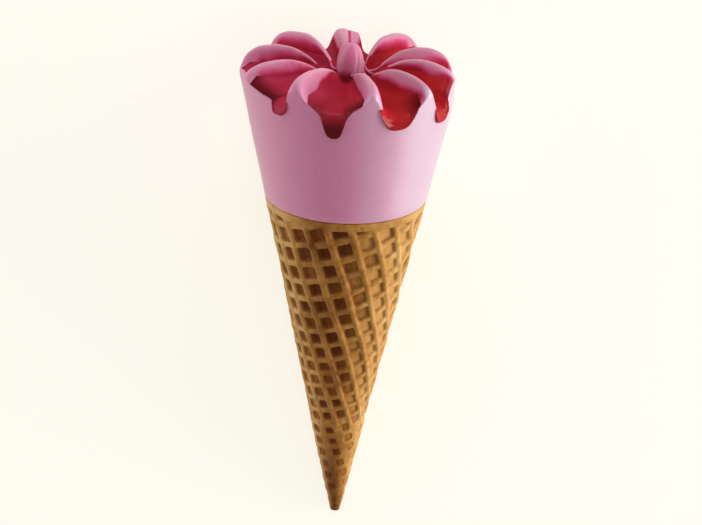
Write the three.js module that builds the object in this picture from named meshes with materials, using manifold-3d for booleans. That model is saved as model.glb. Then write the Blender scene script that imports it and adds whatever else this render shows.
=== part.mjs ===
// An ice cream cone lying on its side: a rolled waffle cone, the strawberry ice cream that fills it and
// ends in a flower of ten petals round a pinched peak, and the red fruit sauce pooled between the petals.
// It lies along Y with the flower towards +Y, on a narrow flat at z = 0.

import * as THREE from 'three';
import { mergeVertices } from 'three/addons/utils/BufferGeometryUtils.js';
import Module from 'manifold-3d';

const wasm = await Module();
wasm.setup();

// ---- Driving dimensions, in millimetres and degrees -------------------------------------------------
// The shapes are worked out upright, with the cone's axis on +Z, z = 0 where the straight wall meets the
// flower, azimuth 0 towards +X and azimuth 270 towards the side that lies uppermost.

const HALF_ANGLE = 12; // between the cone's axis and its wall
const WALL_RADIUS = 30; // ice cream at z = 0
const RIM_RADIUS = 22.4; // waffle at its upper edge
const TIP_RADIUS = 1.42; // waffle at its blunt tip
const WAFFLE_THICKNESS = 2.6; // measured level, from the outside to the filling
const WAFFLE_FACETS = 24;
const GAP = 0.3; // between pieces that touch
const FLAT_DEPTH = 0.5; // cut from the underside, so that the cone rests without rolling

// Waffle relief: square pockets on a grid that narrows with the cone. Distances along the cone's slant
// and turns round it go through a power map, which keeps the pockets square at every height.
const POCKET_PITCH_ACROSS = 6.36; // at 100 mm from the apex
const POCKET_PITCH_ALONG = 5.98;
const POCKET_TURN = 16.6; // the rows of pockets run this far off the cone's slant
const POCKET_MAP_POWER = 0.5; // the pitch grows with the square root of the distance from the apex
const POCKET_MOUTH = 0.64; // share of the pitch
const POCKET_DEPTH = 1.5; // to the point that its four sloping sides meet at
const POCKET_FROM = 33; // from the apex, along the slant; nearer the tip the relief is too fine
const POCKET_NARROWEST = 1.6; // pockets that the outline leaves less of than this aren't cut
const RIM_BAND = 2.7; // plain band under the rim
const SEAM_HALF_WIDTH = 0.9; // plain strip along the lap of the rolled sheet
const SEAM_AZIMUTH = 128; // on the hidden side

// One entry for each petal: azimuth, height of its crest, the radii of the crest's highest point and of
// its inner foot, level where the crest meets the wall, half thickness, sideways bend in degrees for each
// 10 mm outwards, and how square its shoulder is.
const PETALS = [
  { at: 17, height: 5.9, peak: 20, foot: 7.2, lip: -1.0, thick: 1.9, bend: 0, shoulder: 8 },
  { at: 54, height: 6.2, peak: 16.5, foot: 6.8, lip: -0.5, thick: 2.1, bend: 0, shoulder: 8 },
  { at: 90, height: 5.4, peak: 18, foot: 7.0, lip: 0.0, thick: 3.4, bend: 0, shoulder: 9 },
  { at: 135, height: 6.2, peak: 19, foot: 7.0, lip: 0.0, thick: 2.1, bend: 3, shoulder: 9 },
  { at: 170, height: 5.8, peak: 21, foot: 7.5, lip: -0.6, thick: 1.9, bend: 0, shoulder: 10 },
  { at: 201, height: 5.0, peak: 20, foot: 7.5, lip: 0.4, thick: 2.0, bend: 0, shoulder: 12 },
  { at: 241.5, height: 6.2, peak: 24, foot: 7.4, lip: 3.0, thick: 2.3, bend: 0, shoulder: 18 },
  { at: 283.5, height: 5.4, peak: 25, foot: 7.4, lip: 2.7, thick: 2.2, bend: 0, shoulder: 16 },
  { at: 315.5, height: 5.1, peak: 20, foot: 7.0, lip: 1.2, thick: 2.2, bend: 0, shoulder: 12 },
  { at: 350, height: 5.5, peak: 20.5, foot: 7.0, lip: 0.8, thick: 2.3, bend: 0, shoulder: 8 },
];

// One entry for each notch in the wall's upper edge, between two petals: azimuth, half width and bottom of
// its narrow channel, level of the wide scallop above it, and how steeply that rises on either side.
const NOTCHES = [
  { at: 4, width: 2.4, bottom: -4.6, saddle: -3.6, before: 1.4, after: 1.3 },
  { at: 34, width: 3.4, bottom: -7.0, saddle: -3.4, before: 1.5, after: 1.5 },
  { at: 70, width: 3.0, bottom: -8.0, saddle: -3.0, before: 1.6, after: 1.6 },
  { at: 113, width: 2.6, bottom: -6.5, saddle: -3.0, before: 1.5, after: 1.5 },
  { at: 153, width: 3.8, bottom: -9.0, saddle: -4.0, before: 1.8, after: 1.8 },
  { at: 187, width: 2.3, bottom: -2.6, saddle: -1.6, before: 1.2, after: 1.2 },
  { at: 232.4, width: 2.6, bottom: -5.2, saddle: -1.4, before: 1.7, after: 1.1 },
  { at: 262.4, width: 2.75, bottom: -8.9, saddle: -1.0, before: 2.8, after: 2.6 },
  { at: 295.2, width: 4.6, bottom: -7.2, saddle: -3.3, before: 1.0, after: 2.0 },
  { at: 330, width: 3.5, bottom: -8.8, saddle: -3.9, before: 2.8, after: 0.9 },
];

// A petal's crest falls from its highest point to this level at its foot, and by this much in the first
// 10 mm outwards. Its thickness grows outwards.
const FOOT_LEVEL = -0.3;
const CREST_FALL = 1.1;
const THIN_RADIUS = 6; // a petal has THIN_SHARE of its thickness here
const THIN_SHARE = 0.62;
const FULL_RADIUS = 20; // and all of it here

const KNOB_RADIUS = 3.75; // pinched peak in the middle of the flower
const KNOB_BASE = -2.0;
const KNOB_TOP = 8.0;
const KNOB_FILLET = 0.8; // where the peak meets the petals

const POOL_CENTRE_LEVEL = -0.4; // sauce round the peak
const POOL_CENTRE_RADIUS = 6; // out to here
const POOL_HIGHEST = 0.3; // sauce where it meets the scallops
const POOL_FREEBOARD = 0.5; // wall left showing above the sauce
const POOL_DEPTH_CENTRE = 2.2; // out to the first radius
const POOL_DEPTH_OUTER = 2.8; // from the second one on
const POOL_DEPTH_RADII = [5, 17];
const CHANNEL_RADII = [18, 28]; // the channels through the wall begin and are full here
const SAUCE_TUCK = 1.6; // the pool's edge reaches this far into the ice cream, which is cut from it
const SAUCE_UNDERSIDE_RADIUS = 24; // any lower and wider than the pool's bed
const SAUCE_UNDERSIDE_Z = -14;

// Shares of a half notch, from its centre to the next crest, at which the outline is worked out.
const STATIONS = [0, 0.16, 0.32, 0.52, 0.78];
const SAUCE_STATIONS = [0, 0.35];
// Shares of the way from the axis to the wall's upper edge.
const KNOB_RINGS = [0.035, 0.08, 0.11, 0.125, 0.18];
const PETAL_RINGS = [0.25, 0.35, 0.47, 0.6, 0.72, 0.83, 0.91, 0.97, 1];
const SAUCE_RINGS = [0.12, 0.4, 0.8, 0.95, 1];

// ---- Small helpers ----------------------------------------------------------------------------------

const RAD = Math.PI / 180;
const SLOPE = Math.tan(HALF_ANGLE * RAD);
const SLANT = 1 / Math.sin(HALF_ANGLE * RAD); // distance from the apex for each millimetre of radius
const APEX_Z = -WALL_RADIUS / SLOPE;
const clamp = THREE.MathUtils.clamp;

const wallRadius = (z) => WALL_RADIUS + z * SLOPE;
const wallLevel = (radius) => (radius - WALL_RADIUS) / SLOPE;

const ramp = (value, [from, to]) => clamp((value - from) / (to - from), 0, 1);
const smooth = (share) => share * share * (3 - 2 * share);

// The lower of two levels, with their crossing rounded over about the given width.
const softMin = (a, b, width) => {
  const t = clamp(0.5 + (0.5 * (b - a)) / width, 0, 1);
  return b * (1 - t) + a * t - width * t * (1 - t);
};
const softMax = (a, b, width) => -softMin(-a, -b, width);

const turnBetween = (a, b) => THREE.MathUtils.euclideanModulo(a - b + 180, 360) - 180;

const polar = (radius, azimuth, z) =>
  new THREE.Vector3(radius * Math.cos(azimuth * RAD), radius * Math.sin(azimuth * RAD), z);

// ---- The flower -------------------------------------------------------------------------------------

// What the wall's upper edge needs at an azimuth: its notch, the share of the way from the notch's centre
// to the next crest, and the petal values, which pass evenly from one petal to the next.
function wedgeAt(azimuth) {
  const nearest = NOTCHES.reduce((best, notch, index) => {
    const next = PETALS[index]; // PETALS[index] follows NOTCHES[index] round the cone
    const last = PETALS[(index + PETALS.length - 1) % PETALS.length];
    const offset = turnBetween(azimuth, notch.at);
    const span = offset >= 0 ? turnBetween(next.at, notch.at) : turnBetween(notch.at, last.at);
    const share = Math.abs(offset) / span;
    if (share >= best.share) return best;
    return { notch, share, offset, own: offset >= 0 ? next : last, other: offset >= 0 ? last : next };
  }, { share: Infinity });
  const { notch, share, offset, own, other } = nearest;
  const pass = 0.5 + 0.5 * smooth(share);
  const blend = (key) => other[key] + (own[key] - other[key]) * pass;
  return {
    notch,
    share,
    distance: Math.abs(offset) * RAD * WALL_RADIUS,
    rise: offset >= 0 ? notch.after : notch.before,
    lip: blend('lip'),
    shoulder: blend('shoulder'),
  };
}

// The wide scallop between two petals, and the narrow channel that runs down from it.
const CREST_OVERRISE = 1.4; // the scallop's curve aims this far above the crest, and is cut off there
const LIP_ROUNDING = 1.2;
const CHANNEL_POWER = 5; // how square the channel's bottom is
function scallop({ notch, share, rise, lip }) {
  const reach = lip + CREST_OVERRISE - notch.saddle;
  return softMin(notch.saddle + reach * share ** rise, lip, LIP_ROUNDING);
}
const channel = ({ notch, distance }) =>
  (notch.saddle - notch.bottom) / (1 + (distance / notch.width) ** CHANNEL_POWER);
const lipLevel = (wedge) => scallop(wedge) - channel(wedge);

// A petal's crest, seen from the side: it rises from its foot to its peak and falls a little outwards.
const INWARD_POWER = 2.3;
function crestLevel({ height, peak, foot }, radius) {
  const inwards = Math.max((peak - radius) / (peak - foot), 0);
  const outwards = Math.max((radius - peak) / 10, 0);
  return height - (height - FOOT_LEVEL) * inwards ** INWARD_POWER - CREST_FALL * outwards ** 2;
}

// A petal's share of its crest's height at a point: 1 on the crest, with a round top and hollow flanks.
const FLANK_POWER = 4.5;
function petalShare({ at, bend, thick }, radius, azimuth) {
  const crestAzimuth = at + (bend * (radius - FULL_RADIUS)) / 10;
  const across = Math.abs(turnBetween(azimuth, crestAzimuth)) * RAD * radius;
  const growth = Math.max((radius - THIN_RADIUS) / (FULL_RADIUS - THIN_RADIUS), 0);
  const halfThickness = thick * (THIN_SHARE + (1 - THIN_SHARE) * growth);
  return 1 / (1 + (across / halfThickness) ** FLANK_POWER);
}

// The level of the sauce, and of the ice cream bed below it.
const POOL_RISE_POWER = 1.15;
const fillLevel = (wedge) => Math.min(scallop(wedge) - POOL_FREEBOARD, POOL_HIGHEST);
function poolLevel(wedge, radius) {
  const outwards = ramp(radius, [POOL_CENTRE_RADIUS, WALL_RADIUS]) ** POOL_RISE_POWER;
  return POOL_CENTRE_LEVEL + (fillLevel(wedge) - POOL_CENTRE_LEVEL) * outwards;
}
function bedLevel(wedge, radius) {
  const deepening = (POOL_DEPTH_OUTER - POOL_DEPTH_CENTRE) * ramp(radius, POOL_DEPTH_RADII);
  const cut = channel(wedge) * smooth(ramp(radius, CHANNEL_RADII));
  return poolLevel(wedge, radius) - POOL_DEPTH_CENTRE - deepening - cut;
}

function knobLevel(radius) {
  if (radius >= KNOB_RADIUS) return -Infinity;
  return KNOB_BASE + (KNOB_TOP - KNOB_BASE) * Math.sqrt(1 - (radius / KNOB_RADIUS) ** 3);
}

// How far a surface still is from the edge's level, from 1 on the axis to 0 at the wall: the higher the
// power, the squarer the shoulder.
const shoulderShare = (share, power) => (1 - share ** power) ** 0.6;

// A point of the flower's surface. share runs from 0 on the axis to 1 on the wall's upper edge.
const JOIN_POWER = 4; // neighbouring petals flow into each other; higher keeps them further apart
function flowerPoint(share, azimuth) {
  const wedge = wedgeAt(azimuth);
  const lip = lipLevel(wedge);
  const radius = share * wallRadius(lip);
  const bed = bedLevel(wedge, radius);
  const rises = PETALS.map((petal) =>
    Math.max(crestLevel(petal, radius) - bed, 0) * petalShare(petal, radius, azimuth));
  const petals = rises.reduce((sum, rise) => sum + rise ** JOIN_POWER, 0) ** (1 / JOIN_POWER);
  const level = lip + (bed + petals - lip) * shoulderShare(share, wedge.shoulder);
  const knob = knobLevel(radius);
  return polar(radius, azimuth, knob < level - KNOB_FILLET ? level : softMax(level, knob, KNOB_FILLET));
}

// A point of the sauce's surface. In a channel the sauce runs out to the wall; elsewhere its edge is tucked
// into the ice cream.
const SAUCE_SHOULDER = 18;
const DRIP_TUCK = 0.5; // a drip's end, below the channel's bottom
const POOL_TUCK = 1.2; // the pool's edge, below its surface
function saucePoint(share, azimuth) {
  const wedge = wedgeAt(azimuth);
  const lip = lipLevel(wedge);
  const fill = fillLevel(wedge);
  const shows = smooth(ramp(fill - lip, [0, 1.5])); // 1 where the sauce fills a channel
  const edge = (lip - DRIP_TUCK) * shows + (fill - POOL_TUCK) * (1 - shows);
  const radius = share * (wallRadius(edge) - SAUCE_TUCK * (1 - shows));
  const level = edge + (poolLevel(wedge, radius) - edge) * shoulderShare(share, SAUCE_SHOULDER);
  return polar(radius, azimuth, level);
}

// ---- Closed skins from rings ------------------------------------------------------------------------

// A closed mesh through rings of points, from a first single point to a last one. Rings run the same way
// round, and the longer of two neighbours has a whole number of points for each point of the shorter.
function skin(first, rings, last) {
  const points = [first, ...rings.flat(), last];
  const starts = [];
  rings.reduce((start, ring) => {
    starts.push(start);
    return start + ring.length;
  }, 1);
  const at = (ring, index) => starts[ring] + (index % rings[ring].length);
  const faces = [];
  rings[0].forEach((_, i) => faces.push([0, at(0, i), at(0, i + 1)]));
  for (let r = 0; r + 1 < rings.length; r += 1) {
    const inner = rings[r].length;
    const outer = rings[r + 1].length;
    const steps = Math.max(inner, outer);
    for (let i = 0; i < steps; i += 1) {
      const a = Math.floor((i * inner) / steps);
      const b = Math.floor((i * outer) / steps);
      const aNext = Math.floor(((i + 1) * inner) / steps);
      const bNext = Math.floor(((i + 1) * outer) / steps);
      if (bNext > b) faces.push([at(r, a), at(r + 1, b), at(r + 1, bNext)]);
      if (aNext > a) faces.push([at(r, a), at(r + 1, bNext), at(r, aNext)]);
    }
  }
  const end = rings.length - 1;
  rings[end].forEach((_, i) => faces.push([points.length - 1, at(end, i + 1), at(end, i)]));
  const geometry = new THREE.BufferGeometry().setFromPoints(points);
  geometry.setIndex(faces.flat());
  return geometry;
}

// Azimuths round the cone: close together in the notches, and one on every crest.
function stations(shares) {
  return NOTCHES.flatMap((notch, index) => {
    const next = PETALS[index];
    const last = PETALS[(index + PETALS.length - 1) % PETALS.length];
    const before = shares.slice(1).reverse().map((s) => notch.at - s * turnBetween(notch.at, last.at));
    const after = shares.map((s) => notch.at + s * turnBetween(next.at, notch.at));
    return [last.at, ...before, ...after];
  });
}
const FINE = stations(STATIONS);
const MEDIUM = stations(SAUCE_STATIONS);
const COARSE = stations([0]);

// ---- Joining and cutting ----------------------------------------------------------------------------

function toSolid(geometry) {
  const bare = geometry.clone();
  bare.deleteAttribute('normal');
  bare.deleteAttribute('uv');
  const merged = mergeVertices(bare, 1e-5);
  const mesh = new wasm.Mesh({
    numProp: 3,
    vertProperties: Float32Array.from(merged.attributes.position.array),
    triVerts: Uint32Array.from(merged.index.array),
  });
  return new wasm.Manifold(mesh);
}

function toGeometry(solid) {
  const mesh = solid.getMesh();
  const geometry = new THREE.BufferGeometry();
  geometry.setAttribute('position', new THREE.BufferAttribute(Float32Array.from(mesh.vertProperties), 3));
  geometry.setIndex(Array.from(mesh.triVerts));
  return geometry;
}

// The same skin, moved outwards so that each of its faces ends at least the given distance further out.
const INFLATE_PASSES = 12;
const FURTHEST_MOVE = 3; // times the distance, at sharp corners
function inflated(geometry, distance) {
  const grown = geometry.clone();
  const { position } = grown.attributes;
  const corners = Array.from({ length: position.count }, (_, i) =>
    new THREE.Vector3().fromBufferAttribute(position, i));
  const faceNormals = corners.map(() => []);
  const index = grown.index.array;
  const triangle = new THREE.Triangle();
  for (let i = 0; i < index.length; i += 3) {
    triangle.set(corners[index[i]], corners[index[i + 1]], corners[index[i + 2]]);
    const normal = triangle.getNormal(new THREE.Vector3());
    for (let k = 0; k < 3; k += 1) faceNormals[index[i + k]].push(normal);
  }
  corners.forEach((corner, i) => {
    const move = new THREE.Vector3();
    for (let pass = 0; pass < INFLATE_PASSES; pass += 1) {
      faceNormals[i].forEach((normal) => {
        const missing = distance - normal.dot(move);
        if (missing > 0) move.addScaledVector(normal, missing);
      });
    }
    move.clampLength(0, FURTHEST_MOVE * distance);
    position.setXYZ(i, corner.x + move.x, corner.y + move.y, corner.z + move.z);
  });
  return grown;
}

// The connected piece with the most triangles, without the loose crumbs that a cut can leave.
function largestPiece(geometry) {
  const index = geometry.index.array;
  const parent = Array.from({ length: geometry.attributes.position.count }, (_, i) => i);
  const root = (i) => {
    let r = i;
    while (parent[r] !== r) r = parent[r];
    parent[i] = r;
    return r;
  };
  for (let i = 0; i < index.length; i += 3) {
    parent[root(index[i + 1])] = root(index[i]);
    parent[root(index[i + 2])] = root(index[i]);
  }
  const pieces = new Map();
  for (let i = 0; i < index.length; i += 3) {
    const key = root(index[i]);
    if (!pieces.has(key)) pieces.set(key, []);
    pieces.get(key).push(index[i], index[i + 1], index[i + 2]);
  }
  const largest = [...pieces.values()].sort((a, b) => b.length - a.length)[0];
  geometry.setIndex(largest);
  return geometry.toNonIndexed();
}

// ---- Ice cream --------------------------------------------------------------------------------------

const RIM_Z = wallLevel(RIM_RADIUS);
const TIP_Z = wallLevel(TIP_RADIUS);
const FILLING_RADIUS = RIM_RADIUS - WAFFLE_THICKNESS - GAP;
const FILLING_TIP_RADIUS = 1.2;

const circle = (azimuths, radius, z) => azimuths.map((azimuth) => polar(radius, azimuth, z));

function iceCream() {
  const knob = KNOB_RINGS.map((share) => COARSE.map((azimuth) => flowerPoint(share, azimuth)));
  const petals = PETAL_RINGS.map((share) => FINE.map((azimuth) => flowerPoint(share, azimuth)));
  const ledgeZ = RIM_Z + GAP;
  const fillingTipZ = ledgeZ - (FILLING_RADIUS - FILLING_TIP_RADIUS) / SLOPE;
  const body = [
    circle(FINE, wallRadius(ledgeZ), ledgeZ),
    circle(COARSE, FILLING_RADIUS, ledgeZ),
    circle(COARSE, FILLING_TIP_RADIUS, fillingTipZ),
  ];
  const top = new THREE.Vector3(0, 0, KNOB_TOP);
  const tip = new THREE.Vector3(0, 0, fillingTipZ - FILLING_TIP_RADIUS);
  return skin(top, [...knob, ...petals, ...body], tip);
}

// ---- Red sauce --------------------------------------------------------------------------------------

function sauce(iceGeometry) {
  const surface = SAUCE_RINGS.map((share) => MEDIUM.map((azimuth) => saucePoint(share, azimuth)));
  const below = circle(COARSE, SAUCE_UNDERSIDE_RADIUS, SAUCE_UNDERSIDE_Z);
  const top = new THREE.Vector3(0, 0, POOL_CENTRE_LEVEL);
  const bottom = new THREE.Vector3(0, 0, SAUCE_UNDERSIDE_Z);
  const pool = toSolid(skin(top, [...surface, below], bottom));
  return largestPiece(toGeometry(pool.subtract(toSolid(inflated(iceGeometry, GAP)))));
}

// ---- Waffle cone ------------------------------------------------------------------------------------

function waffleBody() {
  const innerTip = RIM_Z - (RIM_RADIUS - WAFFLE_THICKNESS) / SLOPE;
  const profile = [
    new THREE.Vector2(0, TIP_Z),
    new THREE.Vector2(TIP_RADIUS, TIP_Z),
    new THREE.Vector2(RIM_RADIUS, RIM_Z),
    new THREE.Vector2(RIM_RADIUS - WAFFLE_THICKNESS, RIM_Z),
    new THREE.Vector2(0, innerTip),
  ];
  const lathe = new THREE.LatheGeometry(profile, WAFFLE_FACETS);
  return lathe.rotateX(Math.PI / 2);
}

// A point at a distance from the apex along the slant and a turn on the unrolled cone, raised from the wall.
function onCone(distance, turn, raised) {
  const azimuth = 270 + turn / Math.sin(HALF_ANGLE * RAD) / RAD;
  const radius = distance / SLANT + raised * Math.cos(HALF_ANGLE * RAD);
  return polar(radius, azimuth, APEX_Z + distance * Math.cos(HALF_ANGLE * RAD) - raised / SLANT);
}

// Grid co-ordinates to a distance and a turn on the unrolled cone, through the power map.
const MAP_SCALE = 100; // the map keeps lengths at this distance from the apex
const MAP_ORIGIN = new THREE.Vector2(102.2, -0.7); // a pocket's centre
function unrolled(column, row) {
  const turn = POCKET_TURN * RAD;
  const across = POCKET_PITCH_ACROSS * POCKET_MAP_POWER * column;
  const along = POCKET_PITCH_ALONG * POCKET_MAP_POWER * row;
  const x = MAP_ORIGIN.x + across * Math.sin(turn) - along * Math.cos(turn);
  const y = MAP_ORIGIN.y + across * Math.cos(turn) + along * Math.sin(turn);
  return {
    distance: MAP_SCALE * (Math.hypot(x, y) / MAP_SCALE) ** (1 / POCKET_MAP_POWER),
    turn: Math.atan2(y, x) / POCKET_MAP_POWER,
  };
}

// The waffle's outline on the unrolled cone, that pockets are cut off at.
const SEAM_TURN = (SEAM_AZIMUTH - 270) * RAD * Math.sin(HALF_ANGLE * RAD);
const FULL_TURN = 2 * Math.PI * Math.sin(HALF_ANGLE * RAD);
function trimmed({ distance, turn }) {
  const seam = SEAM_HALF_WIDTH / distance;
  return {
    distance: clamp(distance, POCKET_FROM, RIM_RADIUS * SLANT - RIM_BAND),
    turn: clamp(turn, SEAM_TURN + seam, SEAM_TURN + FULL_TURN - seam),
  };
}

const CORNERS = [[-1, -1], [-1, 1], [1, 1], [1, -1]]; // anticlockwise, seen from outside the cone
const MOUTH_ABOVE_WALL = 0.2;

// One pocket as an upside-down pyramid, or null where the outline leaves too little of it.
function pocket(column, row) {
  if (unrolled(column, row).distance < POCKET_FROM) return null;
  const corners = CORNERS.map(([across, along]) =>
    trimmed(unrolled(column + (across * POCKET_MOUTH) / 2, row + (along * POCKET_MOUTH) / 2)));
  const spread = (key) => Math.max(...corners.map((c) => c[key])) - Math.min(...corners.map((c) => c[key]));
  const centre = (key) => corners.reduce((sum, c) => sum + c[key], 0) / corners.length;
  const distance = centre('distance');
  const narrowest = Math.min(spread('distance'), spread('turn') * distance);
  if (narrowest < POCKET_NARROWEST) return null;
  const pitch = POCKET_PITCH_ACROSS * (distance / MAP_SCALE) ** (1 - POCKET_MAP_POWER);
  const depth = POCKET_DEPTH * Math.min(1, narrowest / (pitch * POCKET_MOUTH));
  return {
    mouth: corners.map((c) => onCone(c.distance, c.turn, MOUTH_ABOVE_WALL)),
    bottom: onCone(distance, centre('turn'), -depth),
  };
}

// All pockets as the faces of one mesh of separate pyramids.
const GRID_REACH = 40; // columns and rows tried either side of the origin, more than the cone has
function pocketPyramids() {
  const points = [];
  for (let column = -GRID_REACH; column <= GRID_REACH; column += 1) {
    for (let row = -GRID_REACH; row <= GRID_REACH; row += 1) {
      const block = pocket(column, row);
      if (!block) continue;
      const { mouth: [a, b, c, d], bottom } = block;
      points.push(a, b, c, a, c, d);
      points.push(b, a, bottom, c, b, bottom, d, c, bottom, a, d, bottom);
    }
  }
  return new THREE.BufferGeometry().setFromPoints(points);
}

function waffleCone() {
  return toGeometry(toSolid(waffleBody()).subtract(toSolid(pocketPyramids())));
}

// ---- Laying the cone on its side --------------------------------------------------------------------

const ice = iceCream();
const pieces = {
  waffle_cone: waffleCone(),
  ice_cream: ice,
  red_sauce: sauce(ice),
};

const layDown = new THREE.Matrix4().makeRotationX(-(90 - HALF_ANGLE) * RAD);
const restLevel = -WALL_RADIUS * Math.cos(HALF_ANGLE * RAD); // the wall's lowest line, before the cut

const everything = new THREE.Box3();
Object.values(pieces).forEach((geometry) => {
  geometry.applyMatrix4(layDown);
  geometry.computeBoundingBox();
  everything.union(geometry.boundingBox);
});
const middle = everything.getCenter(new THREE.Vector3());

const GROUND_SIZE = 400;
const GROUND_THICKNESS = 20;
const ground = new THREE.BoxGeometry(GROUND_SIZE, GROUND_SIZE, GROUND_THICKNESS);
ground.translate(middle.x, middle.y, restLevel + FLAT_DEPTH - GROUND_THICKNESS / 2);
const groundSolid = toSolid(ground);

const MATERIALS = {
  waffle_cone: new THREE.MeshStandardMaterial({ color: 0xc08a4e, roughness: 0.7, metalness: 0 }),
  ice_cream: new THREE.MeshStandardMaterial({ color: 0xdba6c0, roughness: 0.5, metalness: 0 }),
  red_sauce: new THREE.MeshStandardMaterial({ color: 0x9e2033, roughness: 0.15, metalness: 0 }),
};

const cone = new THREE.Group();
Object.entries(pieces).forEach(([name, geometry]) => {
  const cut = toGeometry(toSolid(geometry).subtract(groundSolid));
  cut.translate(-middle.x, -middle.y, -restLevel - FLAT_DEPTH);
  const mesh = new THREE.Mesh(cut, MATERIALS[name]);
  mesh.name = name;
  cone.add(mesh);
});

export default cone;
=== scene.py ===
"""The looks of an ice cream cone that lies on its side: the waffle's relief, the flower of ice cream and
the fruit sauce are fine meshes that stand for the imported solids.

The shapes are worked out upright, in millimetres, with the cone's axis on +Z, z = 0 where the straight wall
meets the flower, azimuth 0 towards +X and azimuth 270 towards the side that lies uppermost. lay_down turns
them into the frame's place.
"""

import math
from dataclasses import dataclass, fields, replace

import bmesh
import bpy
import numpy as np
from mathutils import Matrix, Vector


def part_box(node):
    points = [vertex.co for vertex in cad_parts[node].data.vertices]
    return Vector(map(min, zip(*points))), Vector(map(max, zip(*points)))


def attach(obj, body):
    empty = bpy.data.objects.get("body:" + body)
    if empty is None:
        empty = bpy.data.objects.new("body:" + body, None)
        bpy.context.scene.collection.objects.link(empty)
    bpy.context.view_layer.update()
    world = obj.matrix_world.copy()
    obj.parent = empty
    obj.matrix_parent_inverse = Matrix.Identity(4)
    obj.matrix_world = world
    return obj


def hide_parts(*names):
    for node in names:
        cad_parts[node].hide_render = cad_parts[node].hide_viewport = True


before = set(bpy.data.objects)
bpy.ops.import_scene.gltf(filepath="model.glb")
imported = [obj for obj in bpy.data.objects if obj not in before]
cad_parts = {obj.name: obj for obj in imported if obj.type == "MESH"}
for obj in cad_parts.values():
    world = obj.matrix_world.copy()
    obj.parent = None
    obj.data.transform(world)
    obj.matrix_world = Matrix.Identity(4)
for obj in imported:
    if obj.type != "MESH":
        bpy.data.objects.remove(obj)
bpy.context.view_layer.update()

# ---- Sizes, in millimetres and degrees ----

HALF_ANGLE = 12.0
WALL_RADIUS = 30.0  # of the ice cream at z = 0
RIM_RADIUS = 22.4
TIP_RADIUS = 1.42
WAFFLE_THICKNESS = 2.6
FILLING_TIP_RADIUS = 1.2
GAP = 0.3  # between the waffle and the ice cream
FLAT_DEPTH = 0.5  # of the flat that the cone rests on
SHOWN_AZIMUTH = 262.0  # the side that faces the camera

SIN, COS = math.sin(math.radians(HALF_ANGLE)), math.cos(math.radians(HALF_ANGLE))
SLOPE = math.tan(math.radians(HALF_ANGLE))
SLANT = 1 / SIN  # distance from the apex for each millimetre of radius
APEX_Z = -WALL_RADIUS / SLOPE
RIM_Z = (RIM_RADIUS - WALL_RADIUS) / SLOPE
TIP_Z = (TIP_RADIUS - WALL_RADIUS) / SLOPE


@dataclass
class Petal:
    at: float  # azimuth
    height: float  # level of the crest's highest point
    peak: float  # radius of that point
    foot: float  # radius of the crest's inner foot
    thick: float  # half thickness
    lip: float = 0  # level where the crest meets the wall
    shoulder: float = 0  # squareness there
    sunk: float = -0.3  # level of the foot
    flank: float = 3.3  # steepness of the sides
    bend: float = 0  # sideways, in degrees for each 10 mm outwards
    bare: float = 1  # how clean the crest is
    smeared: float = 0  # how much sauce is smeared over its inner part


@dataclass
class Notch:
    """A notch in the wall's upper edge. Pairs are for the sides before and after it."""
    at: float  # azimuth
    width: float  # half width of its narrow channel
    round: float  # squareness of the channel's bottom
    bottom: float  # level of that bottom
    saddle: float  # level of the wide scallop above
    rise: float  # steepness of the scallop
    film: float  # level that the sauce's film climbs to near the wall
    inner: float = 0  # how much higher it climbs away from the wall
    fade: float = 2.4  # height over which its stain fades out
    pale: float = 0.81  # share of the way to the wall where the stain ends
    climb: float = 3.6  # how far the pool's edge is drawn up
    edge: float = 0.4  # painted shade at the pool's edge
    dark: float = 0.2  # painted shade low in the drip


PETALS = [
    Petal(17, 5.9, 20, 7.2, 1.9, -1, 8),
    Petal(54, 6.2, 16.5, 6.8, 2.1, -0.5, 8),
    Petal(92.7, 5.3, 18, 6, 2.6, 0, 9),
    Petal(135, 6.2, 19, 7, 2.1, 0, 9, bend=3),
    Petal(170, 5.8, 21, 7.5, 1.9, -0.6, 10, smeared=0.35),
    Petal(201, 5, 20, 7.5, 2, 0.4, 12, smeared=0.5),
    Petal(241.5, 6.2, 24, 6.4, 2.3, 3, 18, sunk=0.7),
    Petal(283.5, 5.4, 25, 5, 2.2, 2.7, 16, sunk=0.7),
    Petal(315.5, 5.1, 20, 7, 2.2, 1.2, 12),
    Petal(350, 5.5, 20.5, 7, 2.6, 0.7, 5.5),
]
# The wall is thick inside beside the petal at 350 degrees and in the shallow notch before the one at 201.
SWELLS = [
    Petal(341, 0.6, 30, 23.5, 3.2, sunk=-2, flank=2.6, bare=0.7),
    Petal(186, 0.2, 30, 20.5, 4.2, sunk=-2.5, flank=3, bare=0.9),
]
# The back petal curled over, so it has a high lobe and a low one, whose crest is coloured red like the
# stained flanks.
BACK_PETAL = 2
BACK_LOBES = [
    replace(PETALS[BACK_PETAL], at=96.6, thick=2.65, flank=4.2),
    replace(PETALS[BACK_PETAL], at=87.8, height=4.3, thick=1.85, flank=6, bare=0.74),
]
# All that rises from the flower's bed
RIDGES = [*SWELLS, *PETALS[:BACK_PETAL], *BACK_LOBES, *PETALS[BACK_PETAL + 1:]]
BACK_FOLD = 91.7  # azimuth of the fold between the lobes
FOLD_WIDTH = 0.42
FOLD_DEPTH = 0.7
FOLD_RADII = (9, 13), (24, 21)  # where each end begins and is whole

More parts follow.
